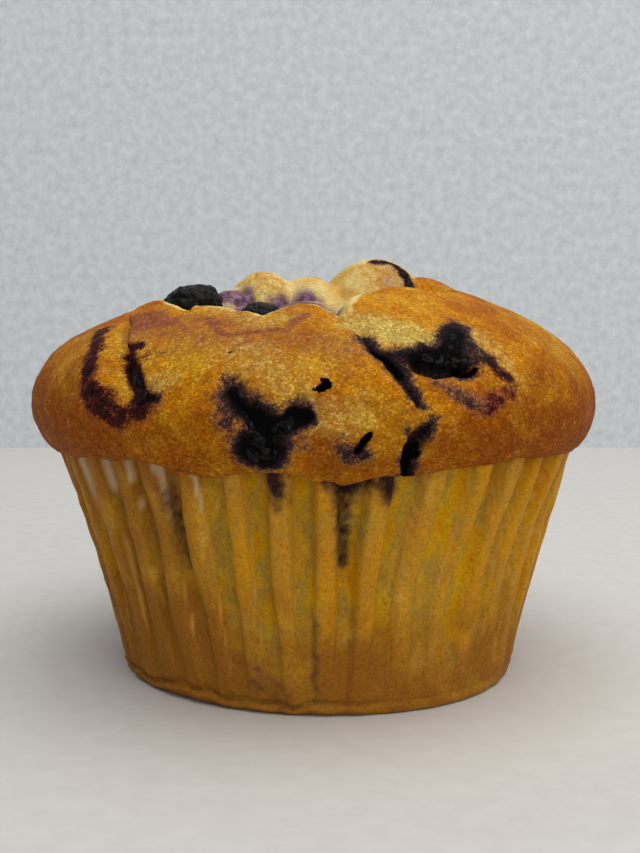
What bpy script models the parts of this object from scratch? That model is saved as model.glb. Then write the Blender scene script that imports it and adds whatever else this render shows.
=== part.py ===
"""A blueberry muffin in its pleated paper case, standing on a flat base.

Nodes: the cake (one solid, its crown cracked open round the berries), the paper case, and each
berry that shows. The origin is the centre of the base, +Z is up, and -Y is the front.
"""

import math

import bmesh
import bpy
import numpy as np
from mathutils import Matrix, Vector

MM = 0.001

# Driving dimensions
BASE_RADIUS = 25.8 * MM  # paper case at the table
RIM_RADIUS = 32.7 * MM  # paper case under the crust
RIM_Z = 28.5 * MM
CROWN_RADIUS = 36.6 * MM
CROWN_WIDEST_Z = 34.3 * MM
CROWN_TOP_Z = 51.2 * MM
GAP = 0.3 * MM  # clearance between neighbouring solids

# Paper case
PAPER = 0.3 * MM
PLEATS = 40
PLEAT_SIDES = 4  # corners of one pleat: two out, two in
PLEAT_DEPTH = 1.1 * MM  # at the rim, from ridge to mean wall
PLEAT_OPENING = 0.7  # power of height by which the pleats open towards the rim
CASE_ROWS = 4
HEEL_RADIUS = 25.5 * MM  # edge of the flat base
HEEL_Z = 0.7 * MM

# Cake
CAKE_STEPS = 84
CROWN_ROWS = 20
BODY_ROWS = 3
CROWN_POWER = 2.08  # of the dome's superellipse
SKIRT_POWER = 2.0
SKIRT_HEIGHT = 15.0 * MM  # how far below its widest ring the skirt would close
PROFILE_SAMPLES = 400  # fine points that the rows of the crown are read from
LOBE_CENTRE = Vector((0, 0, 23.3 * MM))  # the crown's radii are measured from here
BLEND = 1.2 * MM  # width of the crease between two lobes
CRATER_WALL = 3  # a crater reaches its full depth this share of its radius in: one third

# Berries
BERRY_SEGMENTS, BERRY_RINGS = 12, 8
CALYX_DEPTH, CALYX_RADIUS = 0.22, 0.45  # dimple on top, as shares of the berry's half sizes

# Lobes and crumb lumps that stand out of the dome: centre and half sizes in millimetres
LOBES = (
    ((-5, -19, 34.8), (20.8, 17.4, 12.6)),  # front slab
    ((18.5, 2, 37.3), (17.6, 23, 11.6)),  # right lobe
    ((10, -11, 43.7), (7.5, 6, 5.4)),  # crest of the right lobe
    ((7.0, 3, 46.4), (6.6, 5.2, 6.8)),  # tallest lump
    ((-1.4, 0, 46.7), (3.7, 3.6, 4.7)),
    ((-7.2, -0.5, 46.6), (4.2, 4.3, 5.1)),
    ((-17.5, 7, 42), (9.5, 9, 6)),  # back left
    ((-3, 15, 43.3), (8, 8, 6)),  # behind the lumps
    ((6, 20, 39.3), (15, 13, 9.3)),  # back
    ((3.8, -32.6, 32.6), (5.4, 4.2, 4.4)),  # nose over the rim
)
# Sunk places: plan centre, half sizes, turn in degrees and depth, in millimetres
CRATERS = (
    ((-8, -9.5), (17, 10.5), 6, 7),
    ((1, 3), (14, 10), 0, 5),
    ((-27.5, -14), (3.6, 8), -25, 2.6),  # beside the left crack
)
# Valleys: plan points, half width and depth, in millimetres
VALLEYS = (
    (((3, -20), (6, -28), (9.5, -33), (10.5, -36)), 2.0, 2.6),
    (((-6, 9), (-9, 17), (-10, 28)), 2.4, 2.2),
)
# Berries: bearing from the front and height on the crown in degrees, how deep the centre sits
# under the dome, and half sizes across, up and outwards in millimetres
BERRIES = {
    "berry_front": (-9.0, 16.2, 3.0, (5.2, 3.9, 3.4)),
    "berry_right": (25.5, 28.5, 3.4, (5.0, 3.8, 3.4)),
    "berry_left": (-33.0, 23.0, 2.2, (1.8, 3.4, 2.4)),
    "berry_crack": (16.5, 15.5, 2.8, (2.0, 2.9, 2.4)),
    "berry_rim": (-49.0, 49.5, 2.5, (4.4, 3.8, 2.9)),
    "berry_crater": (-30.0, 58.0, 5.4, (2.9, 3.0, 2.3)),
    "berry_back": (168.0, 38.0, 1.4, (4.6, 4.2, 3.6)),
    "berry_side": (-118.0, 24.0, 2.0, (4.4, 4.0, 3.4)),
}


def clear_scene():
    for obj in list(bpy.data.objects):
        bpy.data.objects.remove(obj, do_unlink=True)


def new_collection(name):
    collection = bpy.data.collections.new(name)
    bpy.context.scene.collection.children.link(collection)
    return collection


def new_material(name, colour, roughness):
    material = bpy.data.materials.new(name)
    material.use_nodes = True
    shader = material.node_tree.nodes["Principled BSDF"]
    shader.inputs["Base Color"].default_value = (*colour, 1)
    shader.inputs["Roughness"].default_value = roughness
    shader.inputs["Metallic"].default_value = 0
    return material


def add_object(name, mesh, collection, material):
    obj = bpy.data.objects.new(name, mesh)
    collection.objects.link(obj)
    mesh.materials.clear()
    mesh.materials.append(material)
    return obj


def turned(name, profile, steps):
    """The mesh of an (r, z) profile turned about Z, from the outer side's top down to the axis."""
    outline = bpy.data.meshes.new(name)
    edges = [(i, i + 1) for i in range(len(profile) - 1)]
    outline.from_pydata([(r, 0, z) for r, z in profile], edges, [])
    blank = bpy.data.objects.new(name, outline)
    bpy.context.scene.collection.objects.link(blank)
    screw = blank.modifiers.new("Turn", "SCREW")
    screw.steps = screw.render_steps = steps
    screw.use_merge_vertices = True
    screw.merge_threshold = 0.01 * MM
    screw.use_smooth_shade = False
    bpy.context.view_layer.update()
    mesh = bpy.data.meshes.new_from_object(blank.evaluated_get(bpy.context.evaluated_depsgraph_get()))
    bpy.data.objects.remove(blank, do_unlink=True)
    return mesh


def points_of(mesh):
    points = np.empty(len(mesh.vertices) * 3, np.float32)
    mesh.vertices.foreach_get("co", points)
    return points.reshape(-1, 3).astype(float)


def set_points(mesh, points):
    mesh.vertices.foreach_set("co", points.astype(np.float32).ravel())
    mesh.update()


def smooth_step(x):
    x = np.clip(x, 0, 1)
    return x * x * (3 - 2 * x)


def case_radius(z):
    """Mean radius of the case's wall at height z."""
    return BASE_RADIUS + (RIM_RADIUS - BASE_RADIUS) * (z - HEEL_Z) / (RIM_Z - HEEL_Z)


def pleat_depth(z):
    """The pleats open from nothing at the base to their full depth at the rim."""
    return PLEAT_DEPTH * np.clip(z / RIM_Z, 0, 1) ** PLEAT_OPENING


def dome_profile(count):
    """(r, z) along the crown from its skirt over the widest ring to the top: two superellipses."""
    turn = np.linspace(0, math.pi / 2, PROFILE_SAMPLES)
    height = CROWN_TOP_Z - CROWN_WIDEST_Z
    upper_r = CROWN_RADIUS * np.cos(turn) ** (2 / CROWN_POWER)
    upper_z = CROWN_WIDEST_Z + height * np.sin(turn) ** (2 / CROWN_POWER)
    lower_z = np.linspace(RIM_Z + GAP, CROWN_WIDEST_Z, PROFILE_SAMPLES)[:-1]
    fall = (CROWN_WIDEST_Z - lower_z) / SKIRT_HEIGHT
    lower_r = CROWN_RADIUS * (1 - fall**SKIRT_POWER) ** (1 / SKIRT_POWER)
    r, z = np.concatenate([lower_r, upper_r]), np.concatenate([lower_z, upper_z])
    along = np.concatenate([[0], np.cumsum(np.hypot(np.diff(r), np.diff(z)))])
    at = np.linspace(0, along[-1], count)
    return np.interp(at, along, r), np.interp(at, along, z)


def dome_reach(rise):
    """Distance from LOBE_CENTRE to the plain dome, in a direction that rises by this angle."""
    r, z = dome_profile(PROFILE_SAMPLES)
    height = z - LOBE_CENTRE.z
    return np.interp(rise, np.arctan2(height, r), np.hypot(r, height))


def ellipsoid_reach(direction, centre, half):
    """Distance from LOBE_CENTRE to the far side of an ellipsoid, or 0 where the ray misses it."""
    half = np.array(half) * MM
    to_centre = (np.array(centre) * MM - np.array(LOBE_CENTRE)) / half
    ray = direction / half
    a = (ray**2).sum(1)
    b = ray @ to_centre
    inside = b**2 - a * ((to_centre**2).sum() - 1)
    return np.where((inside > 0) & (b > 0), (b + np.sqrt(np.maximum(inside, 0))) / a, 0)


def smooth_max(a, b, width):
    h = np.clip(0.5 + 0.5 * (a - b) / width, 0, 1)
    return b + (a - b) * h + width * h * (1 - h)


def crater_depth(plan, centre, half, turn, depth):
    """A dish with a level floor and a rounded wall inside its outline."""
    angle = math.radians(turn)
    offset = plan / MM - np.array(centre)
    across = offset @ np.array((math.cos(angle), math.sin(angle))) / half[0]
    along = offset @ np.array((-math.sin(angle), math.cos(angle))) / half[1]
    return depth * MM * smooth_step((1 - np.hypot(across, along)) * CRATER_WALL)


def valley_depth(plan, route, half_width, depth):
    """A rounded groove that follows the route's straight runs."""
    nearest = np.full(len(plan), np.inf)
    for start, end in zip(route[:-1], route[1:]):
        start, run = np.array(start, float), np.subtract(end, start)
        share = np.clip((plan / MM - start) @ run / (run @ run), 0, 1)
        nearest = np.minimum(nearest, np.linalg.norm(plan / MM - start - share[:, None] * run, axis=1))
    return depth * MM * smooth_step(1 - nearest / half_width)


def crown_reach(direction):
    """Distance from LOBE_CENTRE to the crown: the dome is sunk by its craters, then swollen by
    its lobes, and last cut by its valleys.
    """
    dome = dome_reach(np.arcsin(np.clip(direction[:, 2], -1, 1)))
    plan = direction[:, :2] * dome[:, None]
    reach = dome - sum(crater_depth(plan, *crater) for crater in CRATERS)
    for centre, half in LOBES:
        reach = smooth_max(reach, ellipsoid_reach(direction, centre, half), BLEND)
    return reach - sum(valley_depth(plan, *valley) for valley in VALLEYS)


def make_cake(collection, material):
    """The body fills the case; from the skirt up each ring is moved out to the lobed crown."""
    crown_r, crown_z = dome_profile(CROWN_ROWS)
    levels = np.linspace(RIM_Z - GAP, HEEL_Z + PAPER, BODY_ROWS)
    body = [(case_radius(z) - pleat_depth(z) - PAPER - GAP, z) for z in levels]
    floor_z = PAPER + GAP
    profile = list(zip(crown_r, crown_z))[::-1]
    profile += [(body[0][0], RIM_Z + GAP), *body, (HEEL_RADIUS - 2 * PAPER - GAP, floor_z), (0, floor_z)]
    profile[0] = (0, crown_z[-1])
    mesh = turned("cake", profile, CAKE_STEPS)
    points = points_of(mesh)
    from_centre = points - np.array(LOBE_CENTRE)
    direction = from_centre / np.linalg.norm(from_centre, axis=1)[:, None]
    lobed = np.array(LOBE_CENTRE) + direction * crown_reach(direction)[:, None]
    in_crown = (points[:, 2] > RIM_Z + 2 * GAP)[:, None]
    set_points(mesh, np.where(in_crown, lobed, points))
    return add_object("cake", mesh, collection, material)


def make_case(collection, material):
    """A paper cup: its turned outside is folded into pleats, then Solidify adds the paper inwards."""
    heights = np.linspace(RIM_Z, HEEL_Z, CASE_ROWS)
    profile = [(case_radius(z), z) for z in heights] + [(HEEL_RADIUS, 0), (0, 0)]
    mesh = turned("paper_case", profile, PLEATS * PLEAT_SIDES)
    points = points_of(mesh)
    corner = np.round(np.arctan2(points[:, 1], points[:, 0]) / (2 * math.pi) * PLEATS * PLEAT_SIDES)
    outward = np.where(corner % PLEAT_SIDES < PLEAT_SIDES / 2, 1, -1)
    radius = np.hypot(points[:, 0], points[:, 1])
    on_wall = points[:, 2] > HEEL_Z / 2
    folded = radius + np.where(on_wall, outward * pleat_depth(points[:, 2]), 0)
    points[:, :2] *= (folded / np.maximum(radius, MM))[:, None]
    set_points(mesh, points)
    case = add_object("paper_case", mesh, collection, material)
    wall = case.modifiers.new("Paper", "SOLIDIFY")
    wall.thickness = PAPER
    wall.offset = -1
    return case


def berry_mesh(name, half, grow):
    """A sphere squashed to the berry's half sizes, with the dimple of its calyx on top. Grown by
    the gap, and without the dimple, it is the pocket.
    """
    mesh = bpy.data.meshes.new(name)
    shape = bmesh.new()
    bmesh.ops.create_uvsphere(shape, u_segments=BERRY_SEGMENTS, v_segments=BERRY_RINGS, radius=1)
    for vertex in shape.verts:
        if vertex.co.z > 0 and not grow:
            off_axis = math.hypot(vertex.co.x, vertex.co.y)
            vertex.co.z -= CALYX_DEPTH * max(0, 1 - off_axis / CALYX_RADIUS)
        vertex.co = Vector(c * (h * MM + grow) for c, h in zip(vertex.co, half))
    shape.to_mesh(mesh)
    shape.free()
    return mesh


def berry_place(bearing, rise, depth):
    """Where a berry sits: on its ray from LOBE_CENTRE, its own Z pointing outwards."""
    a, e = math.radians(bearing), math.radians(rise)
    outward = Vector((math.sin(a) * math.cos(e), -math.cos(a) * math.cos(e), math.sin(e)))
    reach = float(dome_reach(e)) - depth * MM
    across = Vector((math.cos(a), math.sin(a), 0))
    turn = Matrix((across, outward.cross(across), outward)).transposed()
    return Matrix.Translation(LOBE_CENTRE + outward * reach) @ turn.to_4x4()


def make_berry(name, place, collection, material, cutters, cake):
    """A berry and the pocket that it leaves in the cake, wider by the gap all round."""
    bearing, rise, depth, half = place
    matrix = berry_place(bearing, rise, depth)
    berry = add_object(name, berry_mesh(name, half, 0), collection, material)
    berry.matrix_world = matrix
    pocket_name = name + "_pocket"
    pocket = add_object(pocket_name, berry_mesh(pocket_name, half, GAP), cutters, material)
    pocket.matrix_world = matrix
    pocket.hide_render = True
    pocket.display_type = "WIRE"
    cut = cake.modifiers.new(pocket_name, "BOOLEAN")
    cut.object = pocket
    cut.operation = "DIFFERENCE"
    return berry


def main():
    clear_scene()
    parts = new_collection("muffin")
    cutters = new_collection("muffin_cutters")
    crust = new_material("baked_crumb", (0.55, 0.27, 0.06), 0.75)
    paper = new_material("greaseproof_paper", (0.50, 0.27, 0.07), 0.6)
    skin = new_material("berry_skin", (0.02, 0.012, 0.03), 0.35)
    cake = make_cake(parts, crust)
    make_case(parts, paper)
    for name, place in BERRIES.items():
        make_berry(name, place, parts, skin, cutters, cake)


main()
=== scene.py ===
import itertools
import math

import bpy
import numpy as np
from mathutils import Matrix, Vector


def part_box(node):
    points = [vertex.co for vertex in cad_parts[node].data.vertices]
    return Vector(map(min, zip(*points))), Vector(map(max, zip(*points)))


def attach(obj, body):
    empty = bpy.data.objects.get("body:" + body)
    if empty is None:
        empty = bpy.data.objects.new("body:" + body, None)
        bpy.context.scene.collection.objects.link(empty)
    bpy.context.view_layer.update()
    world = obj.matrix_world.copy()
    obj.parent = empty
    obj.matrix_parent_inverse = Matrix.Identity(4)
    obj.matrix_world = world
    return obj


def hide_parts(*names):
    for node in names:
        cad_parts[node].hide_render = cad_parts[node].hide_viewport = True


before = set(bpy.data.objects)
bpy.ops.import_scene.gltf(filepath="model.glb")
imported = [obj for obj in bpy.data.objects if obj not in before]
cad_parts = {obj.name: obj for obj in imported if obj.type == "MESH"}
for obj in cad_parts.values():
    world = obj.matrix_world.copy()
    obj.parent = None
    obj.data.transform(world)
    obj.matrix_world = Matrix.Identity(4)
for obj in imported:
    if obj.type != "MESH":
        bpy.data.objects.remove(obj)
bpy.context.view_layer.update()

# A blueberry muffin in its pleated paper case. The crown is a dome measured from a centre inside
# it: cracks, craters and lumps move its surface along the lines from that centre. Shapes are in
# millimetres, and grid_piece turns them to metres. The crown map is the dome unrolled flat from
# its top: distance from the middle is the way down the dome, and -Y is the front.

MM = 0.001
NOISE_CELLS = 32  # corners along each side of a noise lattice before it repeats


def in_mm(corner):
    """A corner given in metres, in millimetres."""
    return np.array(corner) / MM


# ---------------------------------------------------------------- sizes, in millimetres
CASE_HIGH = in_mm(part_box("paper_case")[1])
CAKE_HIGH = in_mm(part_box("cake")[1])

PLEATS = 40
PLEAT_DEPTH = 1.1  # at the rim, from ridge to mean wall
PAPER = 0.15
BASE_RADIUS = 25.8
RIM_RADIUS = CASE_HIGH[0] - PLEAT_DEPTH
RIM_Z = CASE_HIGH[2]
PAPER_TOP_Z = RIM_Z + 1.9  # the case reaches up inside the crust's overhang
HEEL_Z = 0.7

CROWN_CENTRE = np.array((0, 0, 23.3))
CROWN_RADIUS = CAKE_HIGH[0]
CROWN_WIDEST_Z = 34.3
CROWN_TOP_Z = 51.2
CROWN_POWER = 2.08
SKIRT_HEIGHT = 15.0

# The crown's grid: columns round it, which stand closer together at the front by a share, rows up
# it, and the rise of its lowest row where the edge neither droops nor lifts
COLUMNS = 640
FRONT_CROWDING = 0.42
CROWN_ROWS = 145
FIRST_ROW_RISE = 10

BLEND = 0.9  # width of the crease between two lobes
CURVE_STEPS = 5  # straight runs between two points of a curve
TEAR = 0.45  # how far noise shifts the edge of a crack, a crater or a stain
LIP_ROUND = 0.35  # how far the high side of a cliff is rounded down, as a share of its depth
CRATER_BUMPS = 0.8
# Unevenness of the whole crust: height, size and seed of its noise
CRUST_NOISE = ((0.32, 13, 41), (0.13, 3.2, 47))
# Height of its finest noise: everywhere, more in the crater, and more along the hem
FINE_NOISE, FINE_IN_CRATER, FINE_AT_HEM = 0.05, 0.06, 0.12

# Crust's lower edge: its mean rise, how far it wobbles, and where it droops (or, if negative,
# lifts): bearing, half width and depth, all in degrees
EDGE_RISE = 10.2
EDGE_WOBBLE = 0.35
EDGE_DROOPS = (
    (4, 6, 2.2), (-20, 5, 1.2), (18, 5, 0.8), (-38, 9, -0.7), (42, 10, -0.6), (-72, 14, 0.8),
    (80, 12, 0.6), (135, 14, 0.8), (-150, 12, 0.6),
)

# Lobes and lumps: centre and half sizes
LUMPS = (
    ((-7.0, -1, 46.4), (4.8, 4.4, 5.3)),
    ((-11, -3.5, 44.7), (3.4, 3.8, 4.6)),
    ((-1.0, -0.5, 46.3), (4.6, 3.8, 4.9)),
    ((7.5, 2, 46.1), (7.2, 5.2, 7.1)),
    ((13.5, 4.5, 45.6), (7.2, 5.0, 5.2)),
    ((-1, -8.5, 43.3), (6.5, 5, 4.4)),
    ((-8, -9, 42.9), (5.5, 4.5, 4.2)),
    ((5, -9.5, 42.8), (5.5, 6, 5.0)),
    ((10, -12.5, 43.6), (7.4, 6.6, 5.4)),
    ((-16.5, 2, 43.3), (6.5, 7, 4.8)),
    ((-8, 9, 45.3), (5.5, 4.5, 4.6)),
    ((1.5, 10, 45.3), (5.0, 4.0, 4.6)),
    ((3.8, -32.4, 32.5), (5.6, 4.4, 4.6)),
)

# Broad swells and hollows: place on the crown map, spread and height
SWELLS = (
    ((-24, -11), 7, -0.5),
    ((-26, 4), 12, -1.7),
    ((-20.5, -17.5), 5, 1.0),
    ((-44, -6), 12, 1.0),
    ((28, -10), 12, -0.4),
)

# Cliffs: one side of the route drops below the other. Route on the crown map, the side that
# drops (1 left of the way along, -1 right), its depth, how far its slope runs, the lip's radius
# and the share of the route over which each end fades
CLIFFS = (
    (((-23, -8), (-22.5, -20), (-22.5, -35.5)), -1, 2.3, 5.0, 0.5, 0.14),  # left crack
    (((1.5, -26.5), (6, -33), (14, -41.5)), 1, 1.5, 6.0, 0.9, 0.2),  # right side of the slab
    (((10, -34.5), (14, -35.5), (20.5, -32)), 1, 2.1, 6.0, 0.5, 0.2),  # lip under the right burst
)
# The crater's rim along its left and front, which the torn crumb shares. Then the crater: its
# outline on the crown map, its depth and the width of its wall
CRATER_RIM = ((-20, -13), (-16, -20), (-10, -24), (-6, -27.5), (-1.5, -24.5), (3.5, -27.5), (5.5, -21))
CRATER = (CRATER_RIM + ((16, -14), (18, -4), (10, 9), (-5, 13), (-19, 6)), 4.6, 3.2)
# Grooves: route, half width and depth
GROOVES = (
    (((14, -41), (13, -45), (15, -49.5)), 1.2, 2.4),  # crack down the front
    (((0.5, -39.5), (1.5, -39)), 0.35, 1.4),  # three small holes
    (((5.5, -46), (6, -45), (7, -43.5)), 0.5, 1.7),
    (((17.5, -33), (19.5, -31.5)), 0.7, 1.8),
    (((-10, -38), (-7, -43), (0, -42)), 2.0, 0.8),  # bed of the front burst
    (((-22, -29), (-21, -35.5)), 1.3, 0.9),
    (((6, -33.5), (9.5, -37)), 1.3, 0.5),
    (((-14.5, -17), (-16.5, -23)), 1.3, 1.1),  # notch in the crater's rim
    (((-5, 15), (-11, 23), (-8, 32), (-13, 42)), 1.5, 1.6),  # crack down the back
    (((28, 14), (38, 16)), 1.0, 1.0),
)

# ---------------------------------------------------------------- numbers and fields


def smooth_step(x):
    """0 up to x = 0, 1 from x = 1 on, and a cubic without corners between them."""
    x = np.clip(x, 0, 1)
    return x * x * (3 - 2 * x)


def ramp(x, start, end):
    """0 where x is start or short of it, rising smoothly to 1 where x reaches end."""
    return smooth_step((x - start) / (end - start))


def bell(x, middle, spread):
    """1 where x is the middle, falling away on both sides: a Gaussian of this spread."""
    return np.exp(-(((x - middle) / spread) ** 2))


def degrees_from(bearing, towards):
    """How far a bearing lies from another, from -180 to 180 degrees."""
    return (bearing - towards + 180) % 360 - 180


def smooth_max(a, b, width):
    """The larger of two heights, with a fillet of this width where they cross."""
    share = np.clip(0.5 + 0.5 * (a - b) / width, 0, 1)
    return b + (a - b) * share + width * share * (1 - share)


def lattice_noise(points, size, seed):
    """Value noise from -1 to 1: random values on a cubic lattice, blended between its corners."""
    table = np.random.default_rng(seed).uniform(-1, 1, (NOISE_CELLS,) * 3)
    at = points / size
    cell = np.floor(at).astype(int)
    share = at - cell
    share = share * share * (3 - 2 * share)
    value = np.zeros(points.shape[:-1])
    for corner in itertools.product((0, 1), repeat=3):
        weight = np.prod(np.where(corner, share, 1 - share), axis=-1)
        i, j, k = np.moveaxis((cell + corner) % NOISE_CELLS, -1, 0)
        value += weight * table[i, j, k]
    return value


def layered_noise(points, size, layers, seed):
    """Noise of this size, plus layers of half the size and half the height each."""
    return sum(lattice_noise(points, size / 2**k, seed + k) / 2**k for k in range(layers))


def crease_noise(points, size, seed):
    """Creases where the noise passes through nought: -1 along a crease, rising away from it."""
    return np.abs(lattice_noise(points, size, seed)) * 4 - 1


def curve(points, closed=False):
    """A smooth line through a few points, as short straight runs: between two points it is a
    cubic that leaves and arrives along the line between the neighbours of each.
    """
    points = np.array(points, float)
    before, after = 2 * points[0] - points[1], 2 * points[-1] - points[-2]
    if closed:
        before, after = points[-1], points[:2]
    padded = np.vstack([before, points, after])
    share = np.arange(CURVE_STEPS)[:, None] / CURVE_STEPS
    a, b, c, d = (padded[k : len(padded) - 3 + k, None] for k in range(4))
    bend = 3 * (b - c) + d - a
    runs = b + share / 2 * (c - a + share * (2 * a - 5 * b + 4 * c - d + share * bend))
    return np.vstack([runs.reshape(-1, 2), padded[-2:-1]])


def follow(spot, route):
    """Distance to a route of straight runs, the side (1 left, -1 right) and the share along it."""
    lengths = np.linalg.norm(np.diff(route, axis=0), axis=1)
    before = np.concatenate([[0], np.cumsum(lengths)])
    distance = np.full(len(spot), np.inf)
    side, share = np.ones(len(spot)), np.zeros(len(spot))
    for start, end, length, gone in zip(route[:-1], route[1:], lengths, before):
        run, off = (end - start) / length, spot - start
        at = np.clip(off @ run, 0, length)
        away = np.linalg.norm(off - at[:, None] * run, axis=1)
        nearer = away < distance
        distance = np.where(nearer, away, distance)
        side = np.where(nearer, np.sign(run[0] * off[:, 1] - run[1] * off[:, 0]), side)
        share = np.where(nearer, (gone + at) / before[-1], share)
    return distance, side, share


def inside(spot, outline):
    """Distance to a closed outline, positive inside it and negative outside."""
    ring = curve(outline, closed=True)
    distance, _, _ = follow(spot, ring)
    crossings = np.zeros(len(spot), int)
    for (ax, ay), (bx, by) in zip(ring[:-1], ring[1:]):
        spans = (ay > spot[:, 1]) != (by > spot[:, 1])
        meets = ax + (bx - ax) * (spot[:, 1] - ay) / np.where(by == ay, 1, by - ay)
        crossings += spans & (spot[:, 0] < meets)
    return np.where(crossings % 2 == 1, distance, -distance)


def painted(spot, strokes):
    """The strongest of some painted strokes. Each is its strength, its route, the half widths
    along it and how softly it fades past them.
    """
    paint = np.zeros(len(spot))
    for strength, route, half_widths, soft in strokes:
        distance, _, share = follow(spot, curve(route))
        half = np.interp(share, np.linspace(0, 1, len(half_widths)), half_widths)
        paint = np.maximum(paint, strength * np.clip(1 - (distance - half) / soft, 0, 1))
    return paint


# ---------------------------------------------------------------- the crown's form

DOME_STEPS = 500
SKIRT_STEPS = 200


def dome_table():
    """Rise, reach and way down from the top of the plain dome: a superellipse over an ellipse."""
    turn = np.linspace(math.pi / 2, 0, DOME_STEPS)
    upper_r = CROWN_RADIUS * np.cos(turn) ** (2 / CROWN_POWER)
    upper_z = CROWN_WIDEST_Z + (CROWN_TOP_Z - CROWN_WIDEST_Z) * np.sin(turn) ** (2 / CROWN_POWER)
    lower_z = np.linspace(CROWN_WIDEST_Z, CROWN_CENTRE[2] + 2, SKIRT_STEPS)[1:]
    lower_r = CROWN_RADIUS * np.sqrt(1 - ((CROWN_WIDEST_Z - lower_z) / SKIRT_HEIGHT) ** 2)
    r, z = np.concatenate([upper_r, lower_r]), np.concatenate([upper_z, lower_z])
    way = np.concatenate([[0], np.cumsum(np.hypot(np.diff(r), np.diff(z)))])
    rise = np.degrees(np.arctan2(z - CROWN_CENTRE[2], r))
    return rise[::-1], np.hypot(r, z - CROWN_CENTRE[2])[::-1], way[::-1]


DOME_RISE, DOME_REACH, DOME_WAY = dome_table()


def crown_map(bearing, rise):
    """Where a direction lands on the crown map."""
    way = np.interp(rise, DOME_RISE, DOME_WAY)
    turn = np.radians(bearing)
    return np.stack([way * np.sin(turn), -way * np.cos(turn)], -1)


def off_map(spot):
    """The bearing and rise of a place on the crown map: crown_map worked backwards."""
    bearing = np.degrees(np.arctan2(spot[:, 0], -spot[:, 1]))
    rise = np.interp(np.hypot(spot[:, 0], spot[:, 1]), DOME_WAY[::-1], DOME_RISE[::-1])
    return bearing, rise


def heading(bearing, rise):
    """The unit direction with this bearing from the front and this rise, in degrees."""
    b, e = np.radians(bearing), np.radians(rise)
    return np.stack([np.sin(b) * np.cos(e), -np.cos(b) * np.cos(e), np.sin(e)], -1)


def ellipsoid_reach(direction, centre, half):
    """Distance from the crown's centre to the far side of an ellipsoid, or 0 off to its side."""
    to_centre = (np.array(centre) - CROWN_CENTRE) / half
    ray = direction / np.array(half, float)
    a = (ray**2).sum(-1)
    b = ray @ to_centre
    reached = b**2 - a * ((to_centre**2).sum() - 1)
    return np.where((reached > 0) & (b > 0), (b + np.sqrt(np.maximum(reached, 0))) / a, 0)


def cliff_depth(spot, route, low_side, depth, slope, lip, fade):
    """Full depth just past the route on its low side, sloping up away from it as a power of the
    distance; on its high side a lip that is rounded down as a parabola.
    """
    distance, side, share = follow(spot, curve(route))
    low = side == low_side
    sunk = np.where(low, np.clip(1 - distance / slope, 0, 1) ** 1.6, 0)
    rounded = np.where(low, 0, np.clip(1 - distance / lip, 0, 1) ** 2 * LIP_ROUND)
    ends = smooth_step(share / fade) * smooth_step((1 - share) / fade)
    return depth * (sunk + rounded) * ends


def groove_depth(spot, route, half_width, depth):
    """A half round trough along the route, shallower towards both ends."""
    distance, _, share = follow(spot, curve(route))
    ends = smooth_step((1 - np.abs(2 * share - 1)) * 3 + 0.35)
    return depth * np.sqrt(np.clip(1 - (distance / half_width) ** 2, 0, 1)) * ends


def torn(spot, on_dome):
    """Places on the crown map, shifted by noise so that every edge drawn there is ragged."""
    ragged = np.stack([layered_noise(on_dome, 2.4, 3, seed) for seed in (11, 23)], -1)
    return spot + TEAR * ragged


def crown_reach(bearing, rise):
    """Distance from the crown's centre to its crust: the dome, less the crater, or a lump where
    one stands higher, less cliffs and grooves, plus noise at four sizes.
    """
    direction = heading(bearing, rise)
    dome = np.interp(rise, DOME_RISE, DOME_REACH)
    on_dome = direction * dome[:, None]
    spot = torn(crown_map(bearing, rise), on_dome)
    outline, depth, wall = CRATER
    in_crater = ramp(inside(spot, outline), 0, wall)
    reach = dome - depth * in_crater
    for middle, spread, height in SWELLS:
        reach += height * bell(np.linalg.norm(spot - middle, axis=1), 0, spread)
    reach += in_crater * CRATER_BUMPS * layered_noise(on_dome, 3.4, 3, 31)
    for centre, half in LUMPS:
        reach = smooth_max(reach, ellipsoid_reach(direction, centre, half), BLEND)
    for cliff in CLIFFS:
        reach -= cliff_depth(spot, *cliff)
    for groove in GROOVES:
        reach -= groove_depth(spot, *groove)
    for height, size, seed in CRUST_NOISE:
        reach += height * layered_noise(on_dome, size, 2, seed)
    fine = FINE_NOISE + FINE_IN_CRATER * in_crater + FINE_AT_HEM * ramp(rise, 15, 10)
    return reach + fine * layered_noise(on_dome, 0.9, 2, 53)


# ---------------------------------------------------------------- making a piece


def grid_piece(name, rings, low_pole, high_pole, fields, material, slot, node):
    """A closed piece from rings of points, each an (n, 3) array that runs left round its axis,
    from the lowest ring up, shut by a pole point at each end. fields are numbers painted on it:
    one value for each ring point.
    """
    count, columns = rings.shape[:2]
    points = np.vstack([[low_pole], rings.reshape(-1, 3), [high_pole]]) * MM
    ring = 1 + np.arange(count * columns).reshape(count, columns)
    right = np.roll(ring, -1, axis=1)
    quads = np.stack([ring[:-1], right[:-1], right[1:], ring[1:]], -1).reshape(-1, 4)
    low = np.stack([np.zeros(columns, int), right[0], ring[0]], -1)
    high = np.stack([np.full(columns, len(points) - 1), ring[-1], right[-1]], -1)
    mesh = bpy.data.meshes.new(name)
    mesh.from_pydata(points.tolist(), [], quads.tolist() + low.tolist() + high.tolist())
    for field, values in fields.items():
        at_ends = values[0].mean(), values[-1].mean()
        painted_on = np.concatenate([[at_ends[0]], values.ravel(), [at_ends[1]]])
        attribute = mesh.attributes.new(field, "FLOAT", "POINT")
        attribute.data.foreach_set("value", painted_on.astype(np.float32))
    mesh.shade_smooth()
    mesh.materials.append(material)
    piece = bpy.data.objects.new(name, mesh)
    bpy.context.scene.collection.objects.link(piece)
    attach(piece, "root")
    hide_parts(node)


# ---------------------------------------------------------------- materials


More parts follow.
